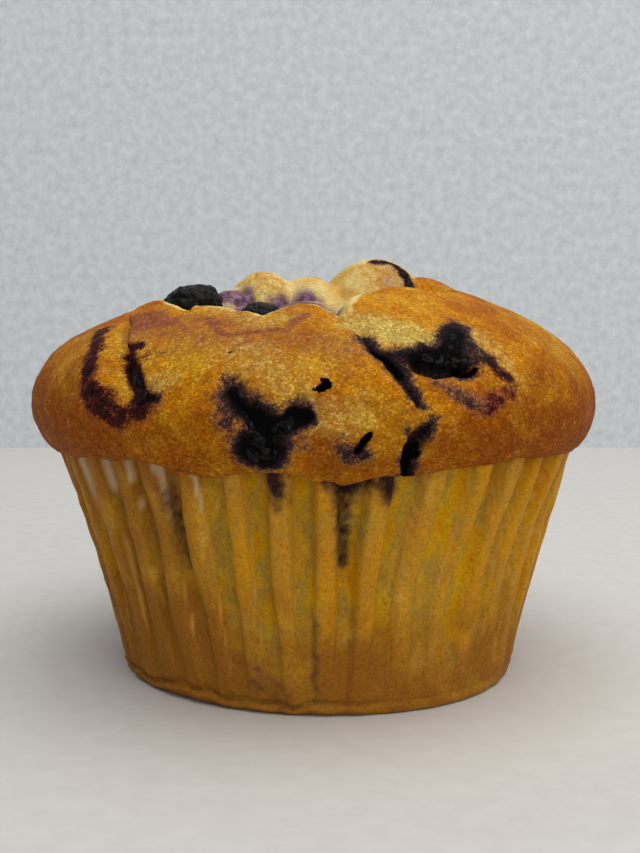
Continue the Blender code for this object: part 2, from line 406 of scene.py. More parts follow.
def linear(colour):
    """An sRGB hex colour, or linear red, green and blue as they are, with full alpha."""
    if not isinstance(colour, str):
        return (*colour, 1)
    channels = [int(colour[i : i + 2], 16) / 255 for i in (1, 3, 5)]
    return (*[c / 12.92 if c <= 0.04045 else ((c + 0.055) / 1.055) ** 2.4 for c in channels], 1)


def in_use(node):
    """A node's first output in use."""
    return next(output for output in node.outputs if output.enabled)


def add_node(tree, kind, sockets=None, stops=(), **settings):
    """Adds a node and sets its properties and sockets. An output, or a node's first one in use,
    is linked; a value or a hex colour is set. stops are a colour ramp's places and colours,
    its two ends first.
    """
    node = tree.nodes.new(kind)
    for key, value in settings.items():
        setattr(node, key, value)
    for key, value in (sockets or {}).items():
        if isinstance(value, bpy.types.Node):
            value = in_use(value)
        if isinstance(value, bpy.types.NodeSocket):
            tree.links.new(value, node.inputs[key])
        else:
            node.inputs[key].default_value = linear(value) if isinstance(value, str) else value
    for number, (place, colour) in enumerate(stops):
        elements = node.color_ramp.elements
        stop = elements[number] if number < 2 else elements.new(place)
        stop.position, stop.color = place, linear(colour)
    return node


def new_material(name):
    """A new material, its node tree, its shader, and the place on the piece in metres."""
    material = bpy.data.materials.new(name)
    material.use_nodes = True
    tree = material.node_tree
    place = add_node(tree, "ShaderNodeTexCoord").outputs["Object"]
    return material, tree, tree.nodes["Principled BSDF"], place


def frayed(tree, field, pattern, fray, low=0.0, high=1.0):
    """A field painted on the piece, shifted up and down by a pattern, then cut to 0 below low
    and 1 above high.
    """
    value = add_node(tree, "ShaderNodeAttribute", attribute_name=field).outputs["Fac"]
    shifted = add_node(tree, "ShaderNodeMath", {0: pattern, 1: fray, 2: value}, operation="MULTIPLY_ADD")
    sockets = {"Value": shifted, "From Min": low + fray / 2, "From Max": high + fray / 2}
    return add_node(tree, "ShaderNodeMapRange", sockets, interpolation_type="SMOOTHSTEP")


def finish_shader(tree, shader, colour, height, relief, values):
    """Links the colour and a bump of this relief in metres, and sets what is even all over."""
    bump = add_node(tree, "ShaderNodeBump", {"Height": height, "Distance": relief, "Strength": 1.0})
    tree.links.new(in_use(colour), shader.inputs["Base Color"])
    tree.links.new(bump.outputs["Normal"], shader.inputs["Normal"])
    for socket, value in values.items():
        shader.inputs[socket].default_value = value


def baked_crumb():
    """Baked batter: a matt, finely grained crust, browned where it was hottest, over pale crumb where it
    tore open. Juice stains it maroon, and burst skin lies on it almost black. The eye sees grains of 0.23
    mm, each a little lighter or darker than the next, the brightest as painted glints. Painted shade
    darkens the lower crust, the left lobe, the holes and the foot of the flap, and a painted sky sheen
    tints the slab's top mauve.
    """
    material, tree, shader, place = new_material("baked_crumb")
    drift = add_node(tree, "ShaderNodeTexNoise",
                     {"Vector": place, "Scale": 1 / (8 * MM), "Detail": 2, "Roughness": 0.6})
    blotch = add_node(tree, "ShaderNodeTexNoise",
                      {"Vector": place, "Scale": 1 / (3.2 * MM), "Detail": 3, "Roughness": 0.6})
    patches = add_node(tree, "ShaderNodeTexNoise",
                       {"Vector": place, "Scale": 1 / (1.8 * MM), "Detail": 4, "Roughness": 0.6})
    mottle = add_node(tree, "ShaderNodeTexNoise",
                      {"Vector": place, "Scale": 1 / (1 * MM), "Detail": 3, "Roughness": 0.6})
    grains = add_node(tree, "ShaderNodeTexVoronoi", {"Vector": place, "Scale": 1 / (0.23 * MM)})
    shade = add_node(tree, "ShaderNodeSeparateColor", {"Color": grains.outputs["Color"]})
    bake_and_shade = frayed(tree, "bake_and_shade", blotch, 1.2)
    pale = frayed(tree, "pale", mottle, 1.0)
    crumb = frayed(tree, "crumb", mottle, 0.8, 0.1, 0.9)
    mauve_and_sheen = frayed(tree, "mauve_and_sheen", mottle, 1.0, 0.0, 0.9)
    violet = frayed(tree, "violet", mottle, 0.9, 0.1, 0.9)
    skin = frayed(tree, "skin", shade, 0.4, 0.2, 0.9)
    pit_shade = frayed(tree, "pit_shade", mottle, 1.2, 0.25, 0.55)
    maroon = frayed(tree, "maroon", blotch, 0.5)
    seeped = frayed(tree, "juice", patches, 1.1)
    juice = add_node(tree, "ShaderNodeMath", {0: shade, 1: -0.22, 2: seeped}, operation="MULTIPLY_ADD")
    soaked = add_node(tree, "ShaderNodeMapRange", {"Value": juice, "From Max": 0.55})
    # crust, darker where it baked longer and darker still low down and on the left lobe as painted shade,
    # and pale crumb stained violet
    crust = add_node(tree, "ShaderNodeValToRGB", {"Fac": drift},
                     ((0.36, "#B4660A"), (0.64, "#D49E22"), (0.5, "#CC860E")))
    crust = add_node(tree, "ShaderNodeMix", {0: bake_and_shade, 6: crust, 7: "#924A06"}, data_type="RGBA")
    # mauve tinge, with a painted sky sheen over the slab's top
    crust = add_node(tree, "ShaderNodeMix", {0: mauve_and_sheen, 6: crust, 7: "#965638"}, data_type="RGBA")
    crust = add_node(tree, "ShaderNodeMix", {0: pale, 6: crust, 7: "#CBB05A"}, data_type="RGBA")
    torn = add_node(tree, "ShaderNodeValToRGB", {"Fac": drift}, ((0.42, "#DCB260"), (0.56, "#EEDA94")))
    crust = add_node(tree, "ShaderNodeMix", {0: crumb, 6: crust, 7: torn}, data_type="RGBA")
    mauve = add_node(tree, "ShaderNodeValToRGB", {"Fac": mottle}, ((0.4, "#5E3E50"), (0.6, "#92728A")))
    crust = add_node(tree, "ShaderNodeMix", {0: violet, 6: crust, 7: mauve}, data_type="RGBA")
    # each patch a little lighter or darker, then the juice
    dapple = add_node(tree, "ShaderNodeValToRGB", {"Fac": mottle},
                      ((0.35, (0.92, 0.89, 0.84)), (0.65, (1.07, 1.08, 1.1))))
    crust = add_node(tree, "ShaderNodeMix", {0: 1.0, 6: crust, 7: dapple},
                     data_type="RGBA", blend_type="MULTIPLY")
    greyish = add_node(tree, "ShaderNodeValToRGB", {"Fac": juice},
                       ((0.1, "#86603E"), (0.9, "#140C0E"), (0.35, "#5E4438"), (0.6, "#3E2A28")))
    redder = add_node(tree, "ShaderNodeValToRGB", {"Fac": juice},
                      ((0.1, "#8A5028"), (0.9, "#180808"), (0.35, "#702E1A"), (0.6, "#481C18")))
    stain = add_node(tree, "ShaderNodeMix", {0: maroon, 6: greyish, 7: redder}, data_type="RGBA")
    crust = add_node(tree, "ShaderNodeMix", {0: soaked, 6: crust, 7: stain}, data_type="RGBA")
    # each grain a little lighter or darker, the brightest as painted glints, but less so in the torn crumb
    grain_tone_and_glints = add_node(tree, "ShaderNodeValToRGB", {"Fac": shade},
                       ((0.0, (0.68, 0.62, 0.52)), (1.0, (1.45, 1.62, 2.1)),
                        (0.5, (0.95, 0.93, 0.9)), (0.8, (1.1, 1.13, 1.18))))
    glinted = add_node(tree, "ShaderNodeMix", {0: 1.0, 6: crust, 7: grain_tone_and_glints},
                        data_type="RGBA", blend_type="MULTIPLY")
    grainy = add_node(tree, "ShaderNodeMapRange", {"Value": crumb, "To Min": 1.0, "To Max": 0.3})
    crust = add_node(tree, "ShaderNodeMix", {0: grainy, 6: crust, 7: glinted}, data_type="RGBA")
    # burst skin, and painted shade down in the holes
    crust = add_node(tree, "ShaderNodeMix", {0: skin, 6: crust, 7: "#040304"}, data_type="RGBA")
    crust = add_node(tree, "ShaderNodeMix", {0: pit_shade, 6: crust, 7: "#080302"}, data_type="RGBA")
    bumps = add_node(tree, "ShaderNodeMath", {0: grains.outputs["Distance"], 1: -0.6, 2: mottle},
                     operation="MULTIPLY_ADD")
    finish_shader(tree, shader, crust, bumps, 0.14 * MM,
                  {"Roughness": 0.6, "IOR": 1.45, "Specular IOR Level": 0.05})
    return material


def greaseproof_paper():
    """Greaseproof paper: thin, pressed into pleats and soaked with butter, so the crumb's yellow shows
    through where it clings. Ridges stand off and stay tan, and dry folds are whitish. Painted highlights
    run along the folds, and painted shade darkens the left side and the paper under the crust.
    """
    material, tree, shader, place = new_material("greaseproof_paper")
    upright = add_node(tree, "ShaderNodeMapping", {"Vector": place, "Scale": (1, 1, 0.3)})
    drift = add_node(tree, "ShaderNodeTexNoise",
                     {"Vector": upright, "Scale": 1 / (4 * MM), "Detail": 3, "Roughness": 0.6})
    blotch = add_node(tree, "ShaderNodeTexNoise",
                      {"Vector": place, "Scale": 1 / (4.5 * MM), "Detail": 3, "Roughness": 0.6})
    mottle = add_node(tree, "ShaderNodeTexNoise",
                      {"Vector": place, "Scale": 1 / (1.2 * MM), "Detail": 3, "Roughness": 0.6})
    fleck = add_node(tree, "ShaderNodeTexNoise",
                     {"Vector": place, "Scale": 1 / (0.35 * MM), "Detail": 3, "Roughness": 0.8})
    ridge = frayed(tree, "ridge", blotch, 1.0, 0.0, 1.2)
    # painted highlight along each pleat's fold
    edge = frayed(tree, "edge", blotch, 1.0, 0.1, 1.0)
    # browner low down and in a rust patch, painted shade on the left side, and under the crust butter stain
    # with painted shade
    brown_and_shade = frayed(tree, "brown_and_shade", blotch, 1.4)
    dry = frayed(tree, "dry", mottle, 0.3, 0.05, 1.1)
    juice = frayed(tree, "juice", mottle, 1.0)
    paper = add_node(tree, "ShaderNodeValToRGB", {"Fac": drift},
                     ((0.34, "#C88A04"), (0.7, "#D6B050"), (0.46, "#CC9A10"), (0.54, "#AC8E3A"),
                      (0.62, "#CE9C20")))
    paper = add_node(tree, "ShaderNodeMix", {0: ridge, 6: paper, 7: "#CA8A26"}, data_type="RGBA")
    paper = add_node(tree, "ShaderNodeMix", {0: brown_and_shade, 6: paper, 7: "#9A6420"}, data_type="RGBA")
    flecks = add_node(tree, "ShaderNodeValToRGB", {"Fac": fleck},
                      ((0.3, (0.66, 0.54, 0.4)), (0.65, (1.18, 1.2, 1.26)), (0.45, (0.96, 0.94, 0.9))))
    paper = add_node(tree, "ShaderNodeMix", {0: 1.0, 6: paper, 7: flecks},
                     data_type="RGBA", blend_type="MULTIPLY")
    # painted highlight along the folds
    paper = add_node(tree, "ShaderNodeMix", {0: edge, 6: paper, 7: "#DCA850"}, data_type="RGBA")
    paper = add_node(tree, "ShaderNodeMix", {0: dry, 6: paper, 7: "#DDC49A"}, data_type="RGBA")
    stain = add_node(tree, "ShaderNodeValToRGB", {"Fac": juice},
                     ((0.1, "#9A6A3C"), (0.8, "#2E1A1C"), (0.45, "#5E3A30")))
    paper = add_node(tree, "ShaderNodeMix", {0: juice, 6: paper, 7: stain}, data_type="RGBA")
    height = add_node(tree, "ShaderNodeMath", {0: mottle, 1: 2.0, 2: fleck}, operation="MULTIPLY_ADD")
    finish_shader(tree, shader, paper, height, 0.05 * MM,
                  {"Roughness": 0.45, "IOR": 1.45, "Specular IOR Level": 0.04})
    return material


def berry_skin():
    """Baked blueberry skin: thin, almost black and wrinkled, with painted highlights along its creases."""
    material, tree, shader, place = new_material("berry_skin")
    fine = add_node(tree, "ShaderNodeTexNoise",
                    {"Vector": place, "Scale": 1 / (0.3 * MM), "Detail": 2, "Roughness": 0.7})
    stretched = add_node(tree, "ShaderNodeMapping", {"Vector": place, "Scale": (1, 1, 0.35)})
    creases = add_node(tree, "ShaderNodeTexNoise",
                       {"Vector": stretched, "Scale": 1 / (0.34 * MM), "Detail": 3, "Roughness": 0.7})
    # painted highlights along the creases
    colour = add_node(tree, "ShaderNodeValToRGB", {"Fac": creases},
                      ((0.5, "#020202"), (0.78, "#82808A"), (0.6, "#08080A"), (0.7, "#36343C")))
    finish_shader(tree, shader, colour, fine, 0.14 * MM,
                  {"Roughness": 0.36, "IOR": 1.45, "Specular IOR Level": 0.16})
    return material


# ---------------------------------------------------------------- the cake

# Painted strokes on the crown map: strength, a curve's points, half widths along it and softness
JUICE = (
    # front burst: down its left arm, the left halo, the pool below, the right arm
    (1.0, ((-10, -38.5), (-8.5, -41), (-5, -43.5)), (0.0, 0.5, 1.1), 2.8),
    (0.5, ((-11, -38.5), (-10, -45.5)), (0.4, 0.8), 2.6),
    (1.0, ((-9.5, -45), (-5, -46)), (1.0, 1.5, 1.0), 2.4),
    (1.0, ((-4.5, -43.5), (-1.5, -42)), (0.6, 0.5), 2.2),
    (0.5, ((-4, -45), (-2, -45)), (0.6, 0.4), 2.4),
    # right burst: its spike, the lip below it, its tail and the dark streak
    (1.0, ((16.5, -25.5), (16, -31.5)), (0.0, 0.4, 1.4, 2.0), 2.6),
    (1.0, ((9.5, -33.5), (17.5, -32.5)), (0.0, 0.8, 1.4, 0.8), 2.0),
    (0.7, ((18, -29.5), (23.5, -31)), (0.8, 0.7, 0.2), 2.4),
    (0.9, ((5.5, -32), (9, -35), (12.5, -39)), (0.4, 0.6, 0.3, 0.0), 1.8),
    (0.55, ((13.5, -36), (20, -36.5), (24, -32.5)), (0.0, 0.4, 0.7, 0.6), 1.2),  # smooth ring
    # left crack: the long stain, then painted shadow under the flap's edge, its foot and its mauve side
    (0.72, ((-27, -15), (-27, -23), (-28.5, -29), (-25, -35), (-19, -36.5)),
     (0.3, 0.5, 0.4, 0.8, 0.8, 0.5, 0.1), 2.2),
    (0.85, ((-22.5, -28.5), (-21.5, -34.5)), (0.7, 0.9, 0.7), 1.4),
    (1.0, ((-21.5, -35), (-19, -36.5)), (0.4, 0.0), 1.2),
    (0.8, ((-23, -26), (-21, -27.5)), (0.5, 0.3), 1.2),
    (0.4, ((-20.5, -29), (-16.5, -31)), (0.4, 0.4, 0.1), 2.0),
    # crack down the front, and the shade beside the hole
    (0.9, ((14.5, -41), (13, -44), (14.5, -49)), (0.0, 0.2, 0.7, 0.9, 0.8), 1.8),
    (0.6, ((11.5, -42.5), (13, -44)), (0.1, 0.3), 1.2),
    (0.7, ((3.5, -46), (6.5, -46.5)), (0.5, 0.9, 0.4), 2.2),
    # the tall lump's lip, the crater's rim and its floor
    (0.9, ((7, 0.5), (11, 0), (13.5, -2)), (0.0, 0.25, 0.5, 0.4), 1.0),
    (0.8, ((1, -25.5), (3, -27)), (0.15, 0.1), 0.5),
    (0.75, ((-17, -13), (-9, -17), (-2, -19)), (0.8, 1.4, 0.6), 2.0),
    # back and sides
    (0.8, ((2, 29), (6, 32), (12, 35), (13, 40)), (1.0, 2.6, 1.4, 0.4), 2.8),
    (0.8, ((-37, 10), (-36, 17), (-32, 23)), (0.8, 2.6, 0.8), 2.8),
    (0.7, ((33, 26), (31, 31), (33, 35)), (0.8, 1.2, 0.6), 2.2),
    (0.7, ((-24, 30), (-15, 33)), (0.8, 1.0, 0.4), 1.8),
    (0.6, ((38, -4), (42, 2), (41, 9)), (0.4, 0.9, 0.5), 1.8),
)
SKIN = (
    (1.0, ((-10, -38.5), (-8.5, -41), (-6, -43)), (0.0, 0.35, 0.9), 0.9),  # front burst
    (1.0, ((-6, -43), (-1, -42)), (0.8, 0.5, 0.8, 0.5), 0.8),
    (1.0, ((-9, -45), (-6, -45.5)), (0.7, 1.4, 1.0), 1.2),
    (1.0, ((16.5, -27), (16, -31)), (0.0, 0.4, 1.2), 1.3),  # right burst
    (1.0, ((11, -33.5), (17, -32)), (0.1, 0.9, 0.5), 1.0),
    (0.8, ((6.5, -33), (10, -36)), (0.0, 0.3, 0.1), 0.8),
    (0.9, ((-21.5, -35), (-19, -36)), (0.2, 0.0), 0.7),  # foot of the left crack
    (1.0, ((14, -43), (13, -45), (14.5, -48.5)), (0.0, 0.5, 0.5), 0.8),  # crack down the front
    (0.9, ((4, 31), (9, 33)), (0.6, 1.0), 1.6),
    (0.9, ((-38, 14), (-37, 19)), (0.6, 1.0), 1.6),
)
# Painted shade down in the small holes: strength, a curve's points, half widths along it and softness
PIT_SHADE = (
    (1.0, ((0, -39.5), (1, -39)), (0.0, 0.25), 0.2),
    (1.0, ((0.5, -38.5), (1.5, -39)), (0.05, 0.2), 0.3),
    (1.0, ((5.5, -46), (6, -45), (7, -43.5)), (0.0, 0.3, 0.2), 0.35),
    (1.0, ((17.5, -33), (19.5, -31.5)), (0.1, 0.3, 0.1), 0.35),
    (0.9, ((-9.5, -34), (-9, -34)), (0.05, 0.05), 0.2),
)
PALE = (
    (0.15, ((-24.5, -20.5), (-24.5, -27), (-23.5, -34)), (0.6, 1.0, 0.8), 2.0),  # face of the left crack
    (0.85, ((4.5, -28.5), (13, -31)), (0.7, 1.2, 0.6), 2.8),  # valley on the right
    (0.35, ((-12, -23.5), (-6, -29), (-2.5, -27)), (0.6, 0.8, 0.4), 1.6),
    (0.5, ((18.5, -26), (23.5, -29.5)), (0.6, 0.8, 0.4), 2.6),
    (0.4, ((-9, -34), (1, -42), (5, -42)), (0.8, 1.2, 0.6), 3.6),
    (0.5, ((-19, -34.5), (-17, -35)), (0.6, 0.5), 1.6),
    (0.6, ((-5, 16), (-11, 23), (-8, 32), (-13, 42)), (0.8, 1.0, 0.6, 0.2), 2.8),
)
# Mauve: the smooth ring's own tinge and thin mauve lines, and over the slab's top a painted sky sheen
MAUVE_AND_SHEEN = (
    (0.6, ((13.5, -36), (20, -36.5), (24, -32.5)), (0.0, 0.5, 0.7, 0.4), 1.0),  # smooth ring
    (1.0, ((-21.5, -21.5), (-17, -24)), (0.8, 1.2, 0.3), 2.4),  # the slab's left corner, a painted sky sheen
    (0.8, ((-22, -22.5), (-22.5, -25.5)), (0.3, 0.2), 1.0),
    (1.0, ((-12.5, -26), (-10, -30), (-6, -31), (-3, -31)), (0.1, 0.15, 0.1), 0.6),  # thin mauve line
    (0.9, ((-3, -30), (-1, -28)), (0.15, 0.3, 0.15), 1.0),
    (0.5, ((-19, -24), (-8, -31), (4, -34)), (1.6, 1.5, 0.6), 5.0),
    (0.4, ((20, 20), (8, 28), (-14, 26)), (3.0, 3.0, 3.0), 6.0),
)
# Where the crust tore off and pale crumb shows, and where that crumb is toasted
TORN_CRUMB = CRATER_RIM + ((7, -15), (13, -3), (10, 7), (-5, 12), (-17, 3))
TOASTED = (
    (0.45, ((8, -1), (12, -1)), (1.6, 2.4), 2.8),
    (0.5, ((-9, -2.5), (-6, -3.5)), (1.6, 1.6), 2.2),
    (0.5, ((-8, 9), (2, 10)), (2.0, 2.0), 2.0),
)
VIOLET = (
    (0.95, ((-14, -5.5), (-11, -6.5), (-8, -8)), (1.0, 1.2, 0.8), 1.4),
    (0.9, ((-7, -7), (-4, -5.5), (-1, -5), (3, -8)), (0.5, 0.9, 0.9, 0.9), 1.2),
    # painted shade down the right side of the tall lump
    (0.35, ((10, -1.5), (12.5, -3)), (0.8, 1.0), 2.0),
    (0.8, ((-11.5, -5), (-10, -5)), (0.6, 0.8), 1.4),
    (0.8, ((-16, -11), (-9, -14.5), (-3, -12), (0.5, -16)), (2.4, 3.2, 2.2, 1.6), 3.4),
    (0.7, ((3, -20), (2, -25)), (0.4, 0.2), 1.2),
    (0.5, ((-3, 11), (3, 13), (8, 11)), (0.6, 1.2, 0.4), 3.4),
)


def crust_fields(spot, rise):
    """The painted fields of the crown, each from 0 to 1, from the place on the crown map."""
    across = spot[:, 0]
    low_crust = ramp(rise, 32, 10)
    left_lobe = ramp(across, -24, -29)
    right_lobe = ramp(across, 12, 30)
    hem = ramp(rise, 11.5, 9)
    torn_crumb = ramp(inside(spot, TORN_CRUMB), -0.6, 0.6)
    return {
        "juice": np.maximum(painted(spot, JUICE), 0.12 * hem),
        "skin": painted(spot, SKIN),
        # painted shade in the holes
        "pit_shade": painted(spot, PIT_SHADE),
        "pale": painted(spot, PALE),
        "crumb": torn_crumb * (1 - painted(spot, TOASTED)),
        # mauve tinge, and a painted sky sheen on the slab's top
        "mauve_and_sheen": painted(spot, MAUVE_AND_SHEEN),
        "violet": painted(spot, VIOLET),
        "maroon": np.maximum(ramp(across, -18, -21), ramp(across, 19, 22)),
        # browner where it baked longer, low down and on the right; the lower crust and the left lobe darker
        # still as painted shade
        "bake_and_shade": np.clip(0.12 + 0.56 * low_crust + 0.28 * left_lobe + 0.24 * right_lobe, 0, 1),
    }


# Rings of the cake inside the case: height and radius. Rings under the crust's lip: how far out
# from its edge and how far above it they lie, in or below where that is negative
CAKE_IN_CASE = ((HEEL_Z, BASE_RADIUS - 2.4), (10, BASE_RADIUS + 0.4), (RIM_Z - 2, RIM_RADIUS - 3.4))
UNDER_LIP = ((-3.2, 0.4), (-1.4, -0.05), (-0.5, -0.25))


def make_cake(material):
    """Rings from the floor of the case up inside the paper, out under the crust's lip, and then
    up the crown to its top: bearing by rise. Columns stand closer together at the front.
    """
    turn = np.linspace(0, 2 * math.pi, COLUMNS, endpoint=False) - math.pi
    bearing = np.degrees(turn - FRONT_CROWDING * np.sin(turn))
    outward = heading(bearing, 0 * bearing)
    edge_rise = np.full(COLUMNS, EDGE_RISE)
    for towards, spread, droop in EDGE_DROOPS:
        edge_rise -= droop * bell(degrees_from(bearing, towards), 0, spread)
    edge_rise += EDGE_WOBBLE * lattice_noise(outward * CROWN_RADIUS, 4, 61)
    way = np.linspace(np.interp(FIRST_ROW_RISE, DOME_RISE, DOME_WAY), 0, CROWN_ROWS + 1)[:-1]
    row_rise = np.interp(-way, -DOME_WAY, DOME_RISE)
    share = (row_rise - row_rise[0]) / (90 - row_rise[0])
    rise = edge_rise + (90 - edge_rise) * share[:, None]
    bearings, rises = np.broadcast_to(bearing, rise.shape).ravel(), rise.ravel()
    direction = heading(bearings, rises)
    reach = crown_reach(bearings, rises)
    crown = (CROWN_CENTRE + direction * reach[:, None]).reshape(*rise.shape, 3)
    edge = crown[0]
    edge_radius = np.linalg.norm(edge[:, :2], axis=1)
    rings = [outward * radius + (0, 0, z) for z, radius in CAKE_IN_CASE]
    for out, above in UNDER_LIP:
        ring = outward * (edge_radius + out)[:, None]
        ring[:, 2] = edge[:, 2] + above
        rings.append(ring)
    on_dome = direction * np.interp(rises, DOME_RISE, DOME_REACH)[:, None]
    fields = {}
    for field, values in crust_fields(torn(crown_map(bearings, rises), on_dome), rises).items():
        values = values.reshape(rise.shape)
        fields[field] = np.concatenate([np.repeat(values[:1], len(rings), axis=0), values])
    rings = np.concatenate([np.array(rings), crown])
    top = crown[-1].mean(axis=0)
    grid_piece("muffin_cake", rings, (0, 0, HEEL_Z), top, fields, material, "baked_crumb", "cake")


# ---------------------------------------------------------------- the paper case

CASE_COLUMNS = PLEATS * 18
HEEL_ROWS = 10
WALL_ROWS = 58
# Rings of the base, from the middle out: share of the way to the wall's foot, and level
BASE_RINGS = ((0.54, 0.02), (0.916, 0.02), (0.97, 0.0), (0.985, 0.06))
# How far pleats lean at the rim, in degrees, and how much further out the heel stands; each with
# the bearing where it is greatest and its spread
PLEAT_LEAN, LEAN_BEARING, LEAN_SPREAD = 5, 42, 26
HEEL_REACH, HEEL_BEARING, HEEL_SPREAD = 1.7, 40, 38
PLEAT_WANDER = 1.1  # of a pleat's phase, in radians
PLEAT_SHARPNESS = 3.2
WALL_SAG = 0.45
CRUMPLE = 0.16
HEEL_ROUND = 0.9
SEAM_Z = 1.5  # of the fold where the wall turns into the base
# Painted strokes on the case: bearing in degrees and height in millimetres
CASE_JUICE = (
    (0.6, ((-31, 26), (-30, 22), (-29.5, 18)), (0.8, 1.2, 0.8), 2.4),
    (0.9, ((-8, 30), (-7, 27)), (1.2, 0.5), 3.0),
    (1.0, ((3, 30), (6, 29.4), (10, 30)), (1.0, 2.4, 1.0), 3.4),
    (0.75, ((5, 29), (6, 19)), (1.2, 0.5), 2.6),
    (1.0, ((13, 30), (14, 27.5)), (1.8, 0.8), 2.6),
    (0.45, ((0, 11), (0, 4)), (0.4, 0.4), 2.0),
    (0.4, ((-14, 4), (-9, 2.5)), (1.4, 1.4), 3.0),
    (0.7, ((-130, 27), (-128, 16)), (2.5, 1.2), 4.0),
    (0.6, ((120, 28), (122, 19)), (2.5, 1.2), 4.0),
    (0.5, ((170, 13), (172, 5)), (1.5, 1.5), 3.0),
)


def case_radius(z):
    """Mean radius of the case's wall at height z."""
    return BASE_RADIUS + (RIM_RADIUS - BASE_RADIUS) * (z - HEEL_Z) / (RIM_Z - HEEL_Z)


def make_case(material):
    """The wall, bearing by height: the mean cone plus the pleats, whose section is the tanh of a
    lowered sine: narrow ridges with steep sides, and wide flat troughs. Each pleat leans, wanders
    and deepens in its own way, and the heel reaches further out on the right.
    """
    turn = np.linspace(0, 2 * math.pi, CASE_COLUMNS, endpoint=False)
    height = np.concatenate([np.linspace(0.25, 2.2, HEEL_ROWS), np.linspace(2.6, PAPER_TOP_Z, WALL_ROWS)])
    turn, z = np.meshgrid(turn, height)
    on_axis = np.stack([np.cos(turn), np.sin(turn), 0 * turn], -1)
    bearing = np.degrees(np.arctan2(on_axis[..., 0], -on_axis[..., 1]))
    squat = (on_axis * 30 + np.stack([0 * z, 0 * z, z * 0.35], -1)).reshape(-1, 3)
    tall = (on_axis * 30 + np.stack([0 * z, 0 * z, z], -1)).reshape(-1, 3)
    wander = layered_noise(squat, 7, 2, 71).reshape(z.shape)
    vary = layered_noise(squat, 5, 2, 77).reshape(z.shape)
    crumple = layered_noise(tall, 4, 3, 83).reshape(z.shape)
    lean = np.radians(PLEAT_LEAN) * ramp(z, 12, 30) * bell(bearing, LEAN_BEARING, LEAN_SPREAD)
    phase = (turn - lean) * PLEATS + PLEAT_WANDER * wander
    phase = phase + 0.35 * np.cos(phase)
    crest = np.sin(phase) - 0.4 + 0.25 * vary
    wave = np.tanh(PLEAT_SHARPNESS * crest)
    open_up = np.clip(z / RIM_Z, 0.02, 1.1) ** 0.85
    depth = PLEAT_DEPTH * open_up * (1 + 0.3 * vary)
    heel_out = HEEL_REACH * bell(bearing, HEEL_BEARING, HEEL_SPREAD) * (1 - z / PAPER_TOP_Z) ** 3
    slack = heel_out - WALL_SAG * np.sin(math.pi * z / PAPER_TOP_Z)
    radius = case_radius(z) + slack + depth * wave + CRUMPLE * crumple * ramp(z, 0, 4)
    radius -= (HEEL_ROUND - 0.4 * heel_out) * np.exp(-z / 0.45)
    crimped = ramp(bearing, 25, -5) * ramp(bearing, -110, -80)
    seam = SEAM_Z + 0.7 * crimped * layered_noise(squat, 3, 2, 91).reshape(z.shape)
    radius -= (0.15 + 0.4 * crimped) * bell(z, seam, 0.35)
    radius += 0.35 * crimped * bell(z, seam - 0.8, 0.4)
    rings = np.stack([np.cos(turn) * radius, np.sin(turn) * radius, z], -1)
    base = rings[0][:, :2]
    lows = [np.column_stack([base * share, np.full(CASE_COLUMNS, level)]) for share, level in BASE_RINGS]
    # the inside of the wall, from its top down, on every third row
    inner_radius = radius - PAPER
    inner = np.stack([np.cos(turn) * inner_radius, np.sin(turn) * inner_radius, z], -1)[::-1][::3]
    stains = painted(np.stack([bearing.ravel(), z.ravel()], -1), CASE_JUICE).reshape(z.shape)
    under_crust = np.exp(-np.clip(PAPER_TOP_Z - z, 0, 9) / 2.5)
    left = ramp(bearing, -8, -38) * ramp(bearing, -150, -90)
    rust = bell(bearing, 9, 6) * bell(z, 6, 5)
    # browner low down and in a rust patch; painted shade on the left side, and under the crust butter stain
    # with painted shade
    brown_and_shade = 0.75 * ramp(z, 19.8, 1.8) + 0.6 * left + 0.6 * under_crust + 0.35 * rust
    # painted shade in the crimped seam's crease, in the stain's colour
    stains = np.maximum(stains, 0.5 * crimped * bell(z, seam, 0.3))
    # the side of each pleat that turns away from the front, with a painted highlight along its fold, and
    # the dry wedges down it at the left
    outer_side = np.where(bearing < 0, np.cos(phase), -np.cos(phase)) < 0
    edge = bell(crest, -0.05, 0.14) * outer_side * ramp(z, 0, 12)
    dry_left = ramp(bearing, -18, -26) * ramp(bearing, -75, -65)
    narrowing = np.clip((z - 20) / 9, 0, 1)
    wedge = smooth_step((0.28 * narrowing - np.abs(crest)) * 8)
    dry = dry_left * np.clip(1.5 * narrowing, 0, 1) * outer_side * wedge
    fields = {
        "ridge": 0.75 * smooth_step(0.5 + 0.55 * crest),
        # painted highlight along the folds
        "edge": edge * 0.6,
        "juice": stains,
        "brown_and_shade": np.clip(brown_and_shade, 0, 1),
        "dry": dry,
    }
    for field, values in fields.items():
        low = np.repeat(values[:1], len(lows), axis=0)
        fields[field] = np.concatenate([low, values, values[::-1][::3]])
    rings = np.concatenate([np.array(lows), rings, inner])
    poles = (0, 0, 0.02), (0, 0, 0.3)
    grid_piece("pleated_case", rings, *poles, fields, material, "greaseproof_paper", "paper_case")


# ---------------------------------------------------------------- the berries

